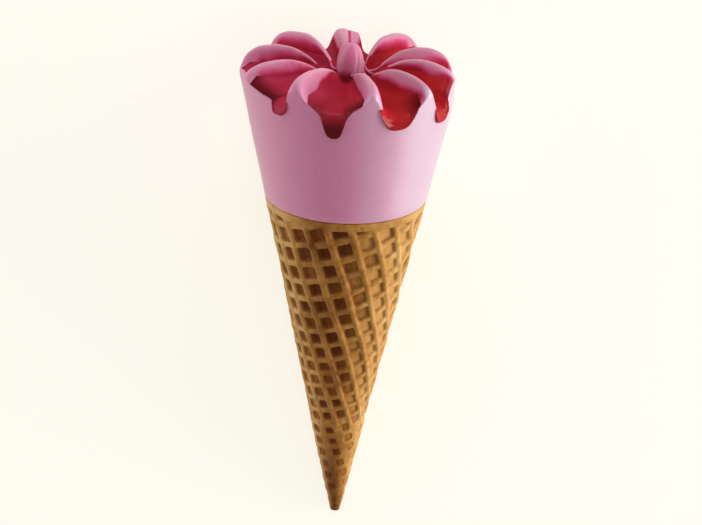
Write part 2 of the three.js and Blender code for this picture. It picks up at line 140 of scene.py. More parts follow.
NOTCHES = [
    Notch(4, 2.4, 5, -3.7, -3.6, (1.4, 1.3), 1.4, inner=(0, -0.6), fade=(3.4, 3.2), pale=0.92),
    Notch(34, 3.4, 4, -7, -3.4, 1.5, 1.8, inner=(0, 1.7), fade=(3, 3.2), pale=(0.81, 0.72)),
    Notch(73, 4.2, 6, -8, -4.4, (1.6, 2.2), 1.2, climb=1.2, edge=(0.4, 0.9)),
    Notch(110, 3.4, 5, -7.5, -3, (1.8, 1.5), 1.8, fade=(0.8, 2.8), climb=2, edge=(0.9, 0.8)),
    Notch(153, 3.8, 4, -9, -4, 1.8, 1.8, inner=(1, 0), fade=(4, 3)),
    Notch(187, 2.3, 4, -0.7, -0.6, 1.2, 0.4, inner=(1.6, 1.2), fade=(4.4, 3), pale=0.76),
    Notch(232.4, (2.4, 2.3), 12, -4.6, -1.1, (1.7, 1.1), 1.5, fade=(2.6, 1.4), edge=(0.95, 0.15), dark=0.5),
    Notch(262.4, 2.75, 4.2, -8.7, -0.9, (3, 2.7), 1.3, inner=(2.2, -0.8), fade=(1, 1.6),
          edge=(0.5, 0.85), dark=0.9),
    Notch(297, (5, 4.2), 5, -6.7, -3.1, (2.4, 2.2), 1.4, inner=(0.6, 0), fade=(2.6, 1.9),
          pale=(0.81, 0.91), edge=(0.1, 0.85), dark=0.3),
    Notch(332.8, (4.8, 1.6), 11, -8.1, -4.4, (3, 0.45), 1.2, inner=(0.7, 2.6), fade=(2.4, 2.6),
          pale=(0.84, 0.96), edge=(0.2, 0.25), dark=0.1),
]
CREST_OVERRISE = 1.4  # of a scallop above the petal's lip, if it weren't rounded off
LIP_ROUNDING = 1.2
SADDLE_ROUNDING = 0.05  # as a share of the way to the crest

CREST_FALL = 1.1  # in the first 10 mm outwards from its highest point
INWARD_POWER = 2.3  # the higher, the later it falls inwards
THIN_RADIUS = 6.0  # where a petal is THIN_SHARE as thick as at FULL_RADIUS
THIN_SHARE = 0.62
FULL_RADIUS = 20.0
BLUNT_LENGTH = 1.6  # a crest begins over this length on each side of its foot
JOIN_POWER = 4.0  # the higher, the sharper the line where two petals meet
SHOULDER_POWER = 0.6
EVEN_SHARE = 0.9  # of the way to the wall, from where the petals' unevenness fades out

# The wall leans in towards the petals on the right. Pairs are where that begins and where it is whole.
LEAN = 1.3
LEAN_AZIMUTH = 358.0
LEAN_TURNS = (34, 14)  # from that azimuth
LEAN_LEVELS = (-9, 1)

KNOB_RADIUS = 3.75
KNOB_BASE = 1.8  # where its dome begins
KNOB_TOP = 8.0
KNOB_BLUNTNESS = 0.84  # 1 is an ellipsoid
KNOB_SKIRT = 3.8  # how far it goes on below its base
# Folds of the pinched peak: azimuth at its base, half width in degrees, how far they stand out.
KNOB_FOLDS = ((216, 15, 0.26), (284, 8, 0.26), (306, 7, 0.42), (328, 9, 0.42), (20, 12, 0.24),
              (150, 14, 0.20))
KNOB_FOLD_SHARE = 0.8  # of that height, in millimetres
KNOB_TWIST = 2.5  # degrees for each millimetre upwards
KNOB_FRONT = 250  # azimuth where the sauce reaches highest up the peak
KNOB_FOOT = 4.3  # radius where the bed begins
KNOB_RINGS = ((0, 90, 18), (90, 91, 8))

POOL_CENTRE_LEVEL = -0.7
POOL_CENTRE_RADIUS = 6.0
POOL_POWER = 1.15
POOL_HIGHEST = 0.1
POOL_FREEBOARD = 0.25
POOL_DEPTHS = (2.2, 2.8)  # at the radii below
POOL_DEPTH_RADII = (5, 17)
CHANNEL_RADII = (18, 28)  # where the channels begin and are whole
FILM_LIMITS = (-0.4, 0.22)  # least thickness, below the ice cream's surface, and most
FILM_THINNING = 0.25  # with each millimetre upwards
FILM_FADE = 1.2  # how far below its level it ends
FILM_RADII = (23.5, 18)  # where the film's inner rise begins and is whole

# Thin strands down the peak and on to the feet of petals: points of radius, azimuth and level.
STRANDS = (
    ((3.4, 4, 3), (4.1, 0, 1), (5.8, 354, -0.2), (7.4, 350, 0.1), (9, 350, 1), (11, 350, 2.6)),
    ((3.6, 338, 1.2), (4.6, 328, -0.1), (6, 318, -0.3), (7.3, 314, 0), (8.8, 315, 0.8),
     (10.4, 315.5, 2.1)),
    ((3.5, 158, 0.6), (4.6, 150, -0.2), (6.2, 141, -0.3), (8, 134, 0.4), (9.6, 132, 1.9)),
    ((3.7, 15, 1.4), (5, 12, 0), (7.4, 16, 0.2), (9.4, 17, 1.5), (11, 17, 2.6)),
    ((2.5, 296, 5.6), (3.15, 291, 4), (3.5, 284, 2), (3.8, 278, 0.2), (5, 277, -0.9)),
    ((2.95, 302, 4.4), (3.4, 304, 2.8), (3.6, 309, 1.2), (4.1, 315, -0.3), (5.2, 318, -0.9)),
    ((2.6, 322, 5.2), (3.3, 328, 3.2), (3.6, 334, 1.2), (4.4, 338, -0.3)),
)
STRAND_RADII = (0.26, 0.4)  # at its middle and at its ends
STRAND_STEPS = 8  # between two of its points

# Ripples: height, wavelength and seed, and for fine ones the number of waves.
PETAL_RIPPLES = (0.12, 9, 4), (0.06, 3.5, 5)
WALL_RIPPLES = (0.07, 14, 6),
KNOB_RIPPLES = (0.03, 5, 7),  # as shares of its radius
STRAND_STAINS = (0.12, 3, 8),
SMEAR_GRAINS = (0.35, 1.2, 9, 24),
FILM_RIPPLES = (0.35, 7, 10),
GRID_WANDER = (0.05, 17, 11), (0.05, 15, 12)  # across and along, as shares of the pitch
TOAST_BLOTCHES = (0.22, 9, 31), (0.16, 3, 32)
HIDDEN_BLOTCHES = (0.4, 25, 33),
WAFFLE_LUMPS = (0.09, 5, 35), (0.06, 2.0, 36, 16)


# ---- Number helpers ----

def ramp(value, start, end):
    """0 at start, 1 at end, and evenly between."""
    return np.clip((value - start) / (end - start), 0, 1)


def smooth(share):
    return share * share * (3 - 2 * share)


def ease(value, start, end):
    """0 at start, 1 at end, and smoothly between."""
    return smooth(ramp(value, start, end))


def soft_min(a, b, width):
    t = np.clip(0.5 + 0.5 * (b - a) / width, 0, 1)
    return b * (1 - t) + a * t - width * t * (1 - t)


def turn_between(a, b):
    return np.mod(a - b + 180, 360) - 180


def facing(azimuth, side):
    """1 on one side of the cone, and 0 opposite."""
    return 0.5 + 0.5 * np.cos(np.radians(azimuth - side))


def column(rows, key):
    return np.array([getattr(row, key) for row in rows], float)


def between(pair, share):
    return pair[0] + (pair[1] - pair[0]) * share


def upright(radius, azimuth, z):
    """Points from a radius, an azimuth in degrees and a level."""
    radius, azimuth, z = np.broadcast_arrays(radius, azimuth, z)
    turn = np.radians(azimuth)
    return np.stack([radius * np.cos(turn), radius * np.sin(turn), z], axis=-1).reshape(-1, 3)


def unevenness(points, ripples):
    """Smooth unevenness, each ripple of about plus and minus its height: waves that run in seeded random
    directions."""
    total = 0
    for height, wavelength, seed, *fine in ripples:
        count = fine[0] if fine else 10
        rng = np.random.default_rng(seed)
        ways = rng.normal(size=(count, 3))
        ways /= np.linalg.norm(ways, axis=1)[:, None]
        lengths = wavelength * rng.uniform(0.7, 1.6, count)
        phases = rng.uniform(0, 2 * math.pi, count)
        waves = np.sin(points @ (ways * (2 * math.pi / lengths[:, None])).T + phases)
        total = total + height * waves.sum(axis=1) / math.sqrt(2 * count)
    return total


def spaced(*stretches):
    """Rising values from stretches of (start, end, steps), without the first."""
    parts = [np.linspace(start, end, steps, endpoint=False) for start, end, steps in stretches]
    return np.concatenate([*parts, [stretches[-1][1]]])[1:]


EVEN_AZIMUTHS = np.arange(0, 360, 0.05)


def dense_azimuths(count, density):
    """Azimuths that lie closest together where the density, given at EVEN_AZIMUTHS, is highest."""
    filled = np.append(0, np.cumsum(density) / density.sum())
    return np.interp(np.arange(count) / count, filled, np.append(EVEN_AZIMUTHS, 360))


# ---- The frame's place ----

LAY = Matrix.Rotation(math.radians(HALF_ANGLE - 90), 3, "X")
waffle_low, waffle_high = (np.array(corner) * 1000 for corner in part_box("waffle_cone"))
tip_edge = np.array(LAY @ Vector((0, -TIP_RADIUS, TIP_Z)))
PLACE = np.array([
    (waffle_low[0] + waffle_high[0]) / 2,
    waffle_low[1] - tip_edge[1],
    WALL_RADIUS * COS - FLAT_DEPTH,
])


def lay_down(points, keep_above_floor=True):
    """Upright millimetres to the frame's metres. The underside is flattened where the solid is."""
    laid = points @ np.array(LAY).T + PLACE
    if keep_above_floor:
        laid[:, 2] = np.maximum(laid[:, 2], 0)
    return laid * 0.001


# ---- The wall's upper edge ----

def wedge_at(azimuth):
    """What the wall's upper edge needs at each azimuth: the nearest notch's index and values, the offset
    from it in degrees, as a share of the way to the next crest and as a distance in millimetres, and the
    petals' values, which pass evenly from one to the next."""
    notch_at = column(NOTCHES, "at")
    next_at = column(PETALS, "at")  # petal i follows notch i round the cone
    last_at = np.roll(next_at, 1)
    offset = turn_between(azimuth[:, None], notch_at[None, :])
    span = np.where(offset >= 0, turn_between(next_at, notch_at), turn_between(notch_at, last_at))
    shares = np.abs(offset) / span
    index = np.argmin(shares, axis=1)
    rows = np.arange(len(azimuth))
    share, offset = shares[rows, index], offset[rows, index]
    after = offset >= 0
    next_petal, last_petal = index, (index - 1) % len(PETALS)
    own = np.where(after, next_petal, last_petal)
    other = np.where(after, last_petal, next_petal)
    passed = 0.5 + 0.5 * smooth(share)
    wedge = dict(index=index, offset=offset, share=share, distance=np.abs(offset) * math.radians(WALL_RADIUS))
    for field in fields(Notch):
        sides = [np.broadcast_to(getattr(notch, field.name), 2) for notch in NOTCHES]
        wedge[field.name] = np.array(sides, float)[index, after.astype(int)]
    for key in ("lip", "shoulder"):
        values = column(PETALS, key)
        wedge[key] = values[other] + (values[own] - values[other]) * passed
    return wedge


def scallop(wedge):
    reach = wedge["lip"] + CREST_OVERRISE - wedge["saddle"]
    half = wedge["rise"] / 2
    bottom, top = SADDLE_ROUNDING ** (2 * half), (1 + SADDLE_ROUNDING ** 2) ** half
    climbed = ((wedge["share"] ** 2 + SADDLE_ROUNDING ** 2) ** half - bottom) / (top - bottom)
    return soft_min(wedge["saddle"] + reach * climbed, wedge["lip"], LIP_ROUNDING)


def channel(wedge):
    across = wedge["distance"] / wedge["width"]
    return (wedge["saddle"] - wedge["bottom"]) / (1 + across ** wedge["round"])


def lip_level(wedge):
    return scallop(wedge) - channel(wedge)


def fill_level(wedge):
    """The pool's level at the wall."""
    return np.minimum(scallop(wedge) - POOL_FREEBOARD, POOL_HIGHEST)


SIDE_DENSITY = 2.0  # how much closer together the points lie at the channels' sides
SIDE_REACH = (1.6, 0.6)


def channel_side_density():
    wedge = wedge_at(EVEN_AZIMUTHS)
    return 1 + SIDE_DENSITY * ease(np.abs(wedge["distance"] - wedge["width"]), *SIDE_REACH)


SIDES = 720
AZIMUTHS = dense_azimuths(SIDES, channel_side_density())
WEDGE = wedge_at(AZIMUTHS)
LIP = lip_level(WEDGE)
FILL = fill_level(WEDGE)
LEANING = LEAN * ease(np.abs(turn_between(AZIMUTHS, LEAN_AZIMUTH)), *LEAN_TURNS)
# Rings from the peak's foot, 0, to the wall's edge, 1. Ice cream and sauce share the inner ones.
SHARED_RINGS = np.append(0, spaced((0, 0.2, 12), (0.2, 0.78, 38), (0.78, 0.9, 12)))
EDGE_RINGS = spaced((0.9, 0.98, 12), (0.98, 1, 8))


# ---- Surfaces of the flower, at its azimuths ----

def ring_at(radius, level=0):
    return upright(radius, AZIMUTHS, level)


def wall_radius(level):
    return WALL_RADIUS + level * SLOPE


def leaning_radius(level):
    return wall_radius(level) - LEANING * ease(level, *LEAN_LEVELS)


def wall_at(level):
    """Radius of the ice cream's slightly uneven wall."""
    return leaning_radius(level) + unevenness(ring_at(WALL_RADIUS, level), WALL_RIPPLES)


def ring_radius(share):
    return KNOB_FOOT + share * (leaning_radius(LIP) - KNOB_FOOT)


def crest_level(petal, radius):
    inwards = np.maximum((petal.peak - radius) / (petal.peak - petal.foot), 0)
    outwards = np.maximum((radius - petal.peak) / 10, 0)
    rise = petal.height - petal.sunk
    return petal.height - rise * inwards ** INWARD_POWER - CREST_FALL * outwards ** 2


def petal_share(petal, radius):
    """1 on the petal's crest, 0.5 at its half thickness and 0 far from it."""
    crest_azimuth = petal.at + petal.bend * (radius - FULL_RADIUS) / 10
    across = np.radians(np.abs(turn_between(AZIMUTHS, crest_azimuth))) * radius
    growth = np.maximum((radius - THIN_RADIUS) / (FULL_RADIUS - THIN_RADIUS), 0)
    half_thickness = petal.thick * (THIN_SHARE + (1 - THIN_SHARE) * growth)
    return 1 / (1 + np.minimum(across / half_thickness, 50) ** petal.flank)


def back_fold(radius):
    """1 along the fold between the back petal's lobes."""
    across = np.radians(turn_between(AZIMUTHS, BACK_FOLD)) * radius / FOLD_WIDTH
    inner, outer = FOLD_RADII
    return np.exp(-across ** 2) * ease(radius, *inner) * ease(radius, *outer)


def pool_level(radius):
    outwards = ramp(radius, POOL_CENTRE_RADIUS, WALL_RADIUS) ** POOL_POWER
    return POOL_CENTRE_LEVEL + (FILL - POOL_CENTRE_LEVEL) * outwards


def bed_level(radius):
    depth = between(POOL_DEPTHS, ramp(radius, *POOL_DEPTH_RADII))
    return pool_level(radius) - depth - channel(WEDGE) * ease(radius, *CHANNEL_RADII)


def ice_level(radius):
    """The ice cream's surface, and how much of it is petal: 0 on the bed, 1 on a crest."""
    share = np.clip(radius / leaning_radius(LIP), 0, 1)
    bed = bed_level(radius)
    total = np.zeros(SIDES)
    crests = np.zeros(SIDES)
    for petal in RIDGES:
        part = petal_share(petal, radius)
        begins = np.sqrt(ramp(radius, petal.foot - BLUNT_LENGTH, petal.foot + BLUNT_LENGTH))
        rise = np.maximum(crest_level(petal, radius) - bed, 0) * part * begins
        total += rise ** JOIN_POWER
        crests = np.maximum(crests, part * petal.bare)
    uneven = unevenness(ring_at(radius), PETAL_RIPPLES) * ramp(share, 1, EVEN_SHARE)
    petals = total ** (1 / JOIN_POWER) + uneven - FOLD_DEPTH * back_fold(radius)
    shoulder = (1 - share ** WEDGE["shoulder"]) ** SHOULDER_POWER
    return LIP + (bed + petals - LIP) * shoulder, crests


def film_level(radius):
    uneven = unevenness(ring_at(radius), FILM_RIPPLES)
    return WEDGE["film"] + WEDGE["inner"] * ease(radius, *FILM_RADII) + uneven


def sauce_level(radius, ice):
    """The pool's surface, drawn up the ice cream's flanks in a film that gets thinner upwards."""
    film = np.clip((film_level(radius) - FILM_FADE - ice) * FILM_THINNING, *FILM_LIMITS)
    return -soft_min(-pool_level(radius), -ice - film, WEDGE["climb"])


# ---- Meshes ----

def new_object(name, data):
    thing = bpy.data.objects.new(name, data)
    bpy.context.scene.collection.objects.link(thing)
    return thing


def new_piece(name, points, faces, attributes, materials, material_of_face=None):
    mesh = bpy.data.meshes.new(name)
    mesh.from_pydata(points, [], [list(face) for face in faces])
    mesh.polygons.foreach_set("use_smooth", np.ones(len(mesh.polygons), bool))
    for key, values in attributes.items():
        attribute = mesh.attributes.new(key, "FLOAT", "POINT")
        attribute.data.foreach_set("value", np.asarray(values, np.float32))
    for material in materials:
        mesh.materials.append(material)
    if material_of_face is not None:
        mesh.polygons.foreach_set("material_index", np.asarray(material_of_face, np.int32))
    return new_object(name, mesh)


COINCIDENT = 1e-7  # metres


def merge_coincident(mesh):
    """Join points that lie in one place, which takes away faces without area."""
    whole = bmesh.new()
    whole.from_mesh(mesh)
    bmesh.ops.remove_doubles(whole, verts=whole.verts, dist=COINCIDENT)
    whole.to_mesh(mesh)
    whole.free()


def skin(rings, first, last):
    """A closed skin from a first point through rings with one count of points to a last one."""
    count = len(rings[0])
    points = np.concatenate([[first], *rings, [last]])
    index = 1 + np.arange(len(rings) * count).reshape(-1, count)
    after = np.roll(index, -1, axis=1)
    start = np.stack([np.zeros(count, int), index[0], after[0]], axis=-1)
    quads = np.stack([index[:-1], index[1:], after[1:], after[:-1]], axis=-1).reshape(-1, 4)
    end = np.stack([np.full(count, len(points) - 1), after[-1], index[-1]], axis=-1)
    return points, [*start, *quads, *end]


class Rings:
    """Rings of points with the values that the materials read, which are usual where none are given."""

    def __init__(self, count, **usual):
        self.count = count
        self.usual = usual
        self.places = []
        self.values = {key: [] for key in usual}

    def add(self, ring, **given):
        self.places.append(ring)
        for key, rows in self.values.items():
            rows.append(np.broadcast_to(given.get(key, self.usual[key]), self.count))

    def skin(self, first, last):
        """The closed skin's points and faces, and the values at its points."""
        values = {key: np.concatenate([[self.usual[key]], *rows, [self.usual[key]]])
                  for key, rows in self.values.items()}
        return *skin(self.places, first, last), values


# ---- Ice cream ----

PETAL_FINISH = (0.88, 0.96)  # shares of the way to the wall where its finish begins and is whole
PALE_LENGTH = 0.12  # share of the way to the wall over which the stain ends
WALL_RINGS = (0.006, 0.02, *spaced((0, 1, 14)))  # as shares of its height
# Points of the wall's rounded lower edge: depth inside the wall, height above the ledge.
LOWER_EDGE = ((0.0, 0.25), (0.12, 0.05))


def stain_share(radius, level, crests):
    """How much sauce has run over the ice cream: 1 at the pool, 0 near the crests and on the wall."""
    height = np.clip((film_level(radius) + WEDGE["fade"] - level) / (WEDGE["fade"] + 0.6), 0, 1)
    return height * ease(crests, 1.0, 0.97 - 0.22 * ramp(radius, 8, 18))


def smear_share(radius):
    """Sauce smeared over the inner part of some petals."""
    total = np.zeros(SIDES)
    for petal in PETALS:
        total = np.maximum(total, petal.smeared * petal_share(petal, radius))
    return total * ease(radius, 22, 15) * (0.75 + unevenness(ring_at(radius), SMEAR_GRAINS))


def low_rim(crests):
    """1 on the wall's upper edge between petals."""
    return ease(crests, 0.4, 0.15)


def petal_stain(share, radius, level, crests):
    pale = ease(share, WEDGE["pale"], WEDGE["pale"] + PALE_LENGTH) * ease(crests, 0.12, 0.45)
    run_over = stain_share(radius, level, crests) * (1 - pale)
    at_rim = 0.6 * ease(share, 0.95, 0.98) * low_rim(crests)
    # painted shade: the fold between the back petal's lobes is darkened with the stain's colour
    return np.maximum.reduce([run_over, at_rim, smear_share(radius), 0.6 * back_fold(radius)])


def knob_ring(down):
    """A ring of the pinched peak, from 0 degrees at its top to 90, and 1 more for its foot, with how stained
    it is and its painted highlight along the folds."""
    turned = math.radians(min(down, 90))
    level = KNOB_BASE + (KNOB_TOP - KNOB_BASE) * max(math.cos(turned), 0) ** KNOB_BLUNTNESS
    level -= KNOB_SKIRT * max(down - 90, 0)
    folds = np.zeros(SIDES)
    for at, half_width, height in KNOB_FOLDS:
        across = turn_between(AZIMUTHS, at + KNOB_TWIST * level) / half_width
        folds += height * np.exp(-across ** 2)
    uneven = 0.97 + unevenness(ring_at(3, level), KNOB_RIPPLES)
    radius = KNOB_RADIUS * math.sin(turned) ** KNOB_BLUNTNESS * uneven
    radius = radius + KNOB_FOLD_SHARE * folds * math.sin(turned) ** 2
    at_foot = ease(level, 1.2 + 0.6 * facing(AZIMUTHS, KNOB_FRONT) ** 2, -1.0)
    stain = 0.2 - 0.14 * ramp(folds, 0, 0.2) + 0.85 * at_foot
    return ring_at(radius, level), stain, 0.5 * ramp(folds, 0.02, 0.25)


def build_ice_cream(flower_material, wall_material):
    rings = Rings(SIDES, stain=0, frost=0, outside=0)
    for down in spaced(*KNOB_RINGS):
        ring, stain, frost = knob_ring(down)
        rings.add(ring, stain=stain, frost=frost)
    for share in (*SHARED_RINGS, *EDGE_RINGS):
        radius = ring_radius(share)
        level, crests = ice_level(radius)
        # painted highlight along the petals' crests
        frost = ease(crests, 0.9, 1) * ramp(share, 1, EVEN_SHARE) * (1 - back_fold(radius))
        if share <= PETAL_FINISH[1]:
            flower_faces = (len(rings.places) + 1) * SIDES
        rings.add(ring_at(radius, level), stain=petal_stain(share, radius, level, crests), frost=frost,
                  outside=ease(share, *PETAL_FINISH) * ease(crests, 0.1, 0.4))
    ledge = RIM_Z + GAP
    (_, wall_end), (inset, rise) = LOWER_EDGE
    for part in WALL_RINGS:
        level = LIP + (ledge + wall_end - LIP) * part
        rings.add(ring_at(wall_at(level), level), stain=0.5 * (part == WALL_RINGS[0]) * low_rim(crests))
    rings.add(ring_at(wall_radius(ledge) - inset, ledge + rise))
    filling_radius = RIM_RADIUS - WAFFLE_THICKNESS - GAP
    filling_tip = ledge - (filling_radius - FILLING_TIP_RADIUS) / SLOPE
    rings.add(ring_at(filling_radius, ledge))
    rings.add(ring_at(FILLING_TIP_RADIUS, filling_tip))
    points, faces, values = rings.skin((0, 0, KNOB_TOP), (0, 0, filling_tip - FILLING_TIP_RADIUS))
    on_wall = np.arange(len(faces)) >= flower_faces
    return new_piece("ice_cream_flower", lay_down(points), faces, values,
                     [flower_material, wall_material], on_wall)


def smooth_path(points, steps):
    """Points on a Catmull-Rom curve through the given ones."""
    points = np.vstack([2 * points[0] - points[1], points, 2 * points[-1] - points[-2]])
    path = []
    for k in range(1, len(points) - 2):
        before, start, end, after = points[k - 1:k + 3]
        for t in np.linspace(0, 1, steps, endpoint=False):
            path.append(0.5 * (2 * start + (end - before) * t
                               + (2 * before - 5 * start + 4 * end - after) * t ** 2
                               + (3 * start - before - 3 * end + after) * t ** 3))
    return np.array([*path, points[-2]])


def tube(path, radii, sides=12):
    """A closed tube along a path, with a radius at each of its points."""
    along = np.gradient(path, axis=0)
    along /= np.linalg.norm(along, axis=1)[:, None]
    aside = np.cross(along, (0, 0, 1))
    aside /= np.linalg.norm(aside, axis=1)[:, None]
    over = np.cross(aside, along)
    turns = np.arange(sides) * 2 * math.pi / sides
    rings = [place + radius * (np.cos(turns)[:, None] * side + np.sin(turns)[:, None] * up)
             for place, radius, side, up in zip(path, radii, aside, over)]
    return skin(rings, path[0], path[-1])


def build_strands(material):
    points, faces = [], []
    for strand in STRANDS:
        path = smooth_path(upright(*np.array(strand, float).T), STRAND_STEPS)
        from_middle = 2 * np.linspace(0, 1, len(path)) - 1
        radii = between(STRAND_RADII, from_middle ** 2)
        tube_points, tube_faces = tube(path, radii)
        faces += [face + len(points) for face in tube_faces]
        points += [*tube_points]
    points = np.array(points)
    stain = np.clip(0.15 + unevenness(points, STRAND_STAINS), 0, 1)
    return new_piece("pulled_strands", lay_down(points), faces,
                     {"stain": stain, "frost": 0 * stain, "outside": 0 * stain}, [material])


# ---- Sauce ----

DRIP_PROUD = (0.15, 0.8)  # at its top and near its end
DRIP_SPREAD = 0.22  # how much wider it gets near its end
DRIP_NARROWS = 0.25  # how much less wide it is between
DRIP_RINGS = 8
HIDDEN = 0.12  # depth of the pool's edge inside the wall where it doesn't run out
RUNS_OUT = (0.0, 0.7)  # the pool's height over the lip where it begins to run out and does so fully
TURNED_DOWN = (0.3, 1.8)  # least and most height of the turn down at the wall
TURN_RINGS = 14
TURN_ROUNDNESS = (2.2, 10.2)  # as the powers of superellipses, where it runs out and where it doesn't
BEAD_ANGLES = np.radians([20, 40, 60, 80, 100])
BEAD_LENGTH = 0.8  # as a share of how proud it stands
SAUCE_START = 0.7  # as a share of the peak's radius
SAUCE_BOTTOM = (24, -14)  # radius and level


def painted_sauce_shade(radius, level, climbed, bulge):
    """Painted shade on the sauce: darker near and behind the peak, most on the side that faces the camera,
    low in the drips, and at the pool's edges by the wall and up the flanks.
    """
    front = facing(AZIMUTHS, SHOWN_AZIMUTH)
    near_peak = ease(radius, 9.5 + 1.5 * front, 5.5 + front) * (0.45 + 0.45 * front ** 2)
    low = ease(level, -1.8, -6.5) * WEDGE["dark"]
    at_wall = ease(radius / wall_radius(FILL), 0.74, 0.97) * (1 - bulge)
    on_flanks = 0.45 * ease(climbed, 0.2, 2.4) * ramp(radius, 6, 12)
    edge = WEDGE["edge"] * np.maximum(at_wall, on_flanks)
    behind = 0.28 * ease(np.sin(np.radians(AZIMUTHS)), 0.3, 0.95)
    return np.maximum.reduce([near_peak, low, edge, behind])


def build_sauce(material):
    middles = wedge_at(column(NOTCHES, "at"))
    deepest = (fill_level(middles) - lip_level(middles))[WEDGE["index"]]
    over = FILL - LIP
    out = ease(over, *RUNS_OUT)
    bulge = out * np.clip(over / (0.85 * deepest), 0, 1) ** 0.8
    widening = DRIP_SPREAD * ease(deepest, 1, 3)
    reach_across = 1.25 * np.degrees(WEDGE["width"] / WALL_RADIUS)
    aside = WEDGE["offset"] * np.exp(-(WEDGE["offset"] / reach_across) ** 4)
    rings = Rings(SIDES, depth=1, drip=0, dark=0.5)

    def add(radius, level, spread=0.0, climbed=0.0, **values):
        rings.add(upright(radius, AZIMUTHS + spread * aside, level),
                  dark=painted_sauce_shade(radius, level, climbed, bulge), **values)

    add(KNOB_RADIUS * SAUCE_START, POOL_CENTRE_LEVEL)
    for share in SHARED_RINGS:
        radius = ring_radius(share)
        ice, _ = ice_level(radius)
        level = sauce_level(radius, ice)
        depth = ramp(level - ice, 0, 3)
        add(radius, level, climbed=level - pool_level(radius), depth=depth)
    inner_radius, inner_level, inner_depth = radius, level, depth

    side = FILL - np.clip(over, *TURNED_DOWN)  # level where the surface has turned down
    edge_radius = wall_at(side) - HIDDEN + (HIDDEN + DRIP_PROUD[0] * bulge) * out
    power = 2 / between(TURN_ROUNDNESS, 1 - out)
    for part in spaced((0, 1, TURN_RINGS)):
        angle = math.pi / 2 * part
        reach = math.sin(angle) ** power
        radius = between((inner_radius, edge_radius), reach)
        top = between((inner_level, FILL), reach)
        level = top - (FILL - side) * (1 - max(math.cos(angle), 0) ** power)
        add(radius, level, depth=between((inner_depth, 1), reach), drip=out * reach * smooth(part))
    end = np.minimum(side, LIP + 0.35 * bulge) - 0.15
    for part in spaced((0, 1, DRIP_RINGS)):
        level = side + (end - side) * part
        proud = between(DRIP_PROUD, smooth(part)) * bulge
        radius = wall_at(level) - HIDDEN + (HIDDEN + proud) * out
        add(radius, level, widening * (ease(part, 0.3, 0.8) - DRIP_NARROWS * ramp(part, 0, 0.3)), drip=out)
    bead = DRIP_PROUD[1] * bulge
    for angle in BEAD_ANGLES:
        add(radius - bead * (1 - np.cos(angle)), end - bead * np.sin(angle) * BEAD_LENGTH,
            widening * (np.cos(angle / 2) - DRIP_NARROWS), drip=out)
    add(*SAUCE_BOTTOM)
    points, faces, values = rings.skin((0, 0, POOL_CENTRE_LEVEL), (0, 0, SAUCE_BOTTOM[1]))
    piece = new_piece("fruit_sauce", lay_down(points), faces, values, [material])
    merge_coincident(piece.data)
    return piece


# ---- Waffle ----

WAFFLE_SIDES = 400
WAFFLE_RINGS = 238
SHOWN_DENSITY = 0.45  # how much closer together the points lie on the shown side
# Square pockets. Most lie on a grid that narrows with the cone, which is even on a plane made from the
# unrolled cone by a power map. Near the tip the grid is even on the unrolled cone itself. pitch is across
# and along the grid, origin a pocket's middle, and mouth its size as a share of the pitch.
GRID_TURN = 16.6
MAP_POWER = 0.5
MAP_SCALE = 100.0
MAIN_GRID = dict(pitch=(6.36, 5.98), origin=(102.2, -0.7), mouth=(0.66, 0.71), seed=21)
TIP_GRID = dict(pitch=(4.5, 3.95), origin=(28.8, -0.1), mouth=(0.56, 0.64), seed=41)
TIP_GRID_ENDS = (12.5, 38.8)  # distances from the apex
MAIN_GRID_GAP = 0.6  # between the grids
MOUTH_VARIATION = 0.08
POCKET_DEPTH = 1.35
DEPTH_VARIATION = 0.15
POCKET_SIDE = 0.42  # width of its sloping sides
POCKET_CORNER = 0.7
OUTSIDE = -3.0  # millimetres inside a pocket's outline, where there is none
MAIN_RIB_CROWN = 0.5
CROSS_RIB_DROP = 0.35
CROSS_RIB_CROWN = 0.15
RIM_BAND = 2.7  # without pockets
SEAM_AZIMUTH = 128.0
SEAM_BAND = 1.0  # on each side, without pockets
SEAM_STEP = 0.45
SEAM_FADE = 16.0
SUNK = 0.05  # how far the whole surface lies below the cone's
DARKEST_AZIMUTH = 257.0  # painted shade: the waffle is painted darkest round this side, near the one that faces the camera
TIP_RINGS = (0.35, 0.75, 0.93)  # as shares of its radius
TIP_ROUNDING = 0.5
# Points of the rounded rim: distance from the rim along the slant, and depth below the surface.
RIM_ROUNDING = ((0.1, 0.08), (0.0, 0.35))
RIM_START = 0.35  # how far from the rim the surface ends
INNER_TIP_RADIUS = 0.5


def cell_noise(columns, rows, seed):
    """A seeded random number from -1 to 1 for each cell of the grid."""
    rng = np.random.default_rng(seed)
    table = rng.uniform(-1, 1, (128, 128))
    return table[columns.astype(int) % 128, rows.astype(int) % 128]


def grid_cells(x, y, grid, steps, pitch, wander):
    """At places on a grid's plane: shares of the pitch from their cell's middle, millimetres inside the
    pocket's outline, the middle's distance from the plane's origin, and the cell's random number from -1 to
    1. steps is the pitch on the plane, and pitch the real one."""
    sin, cos = math.sin(math.radians(GRID_TURN)), math.cos(math.radians(GRID_TURN))
    (origin_x, origin_y), mouth, seed = grid["origin"], grid["mouth"], grid["seed"]
    x, y = x - origin_x, y - origin_y
    across = (x * sin + y * cos) / steps[0] + wander[0]
    along = (y * sin - x * cos) / steps[1] + wander[1]
    columns, rows = np.round(across), np.round(along)
    u, v = np.abs(across - columns), np.abs(along - rows)
    half_u = mouth[0] / 2 * (1 + MOUTH_VARIATION * cell_noise(columns, rows, seed))
    half_v = mouth[1] / 2 * (1 + MOUTH_VARIATION * cell_noise(columns, rows, seed + 1))
    inside = soft_min((half_u - u) * pitch[0], (half_v - v) * pitch[1], POCKET_CORNER)
    across, along = columns * steps[0], rows * steps[1]
    middle = np.hypot(origin_x + across * sin - along * cos, origin_y + across * cos + along * sin)
    return u, v, inside, middle, cell_noise(columns, rows, seed + 2)


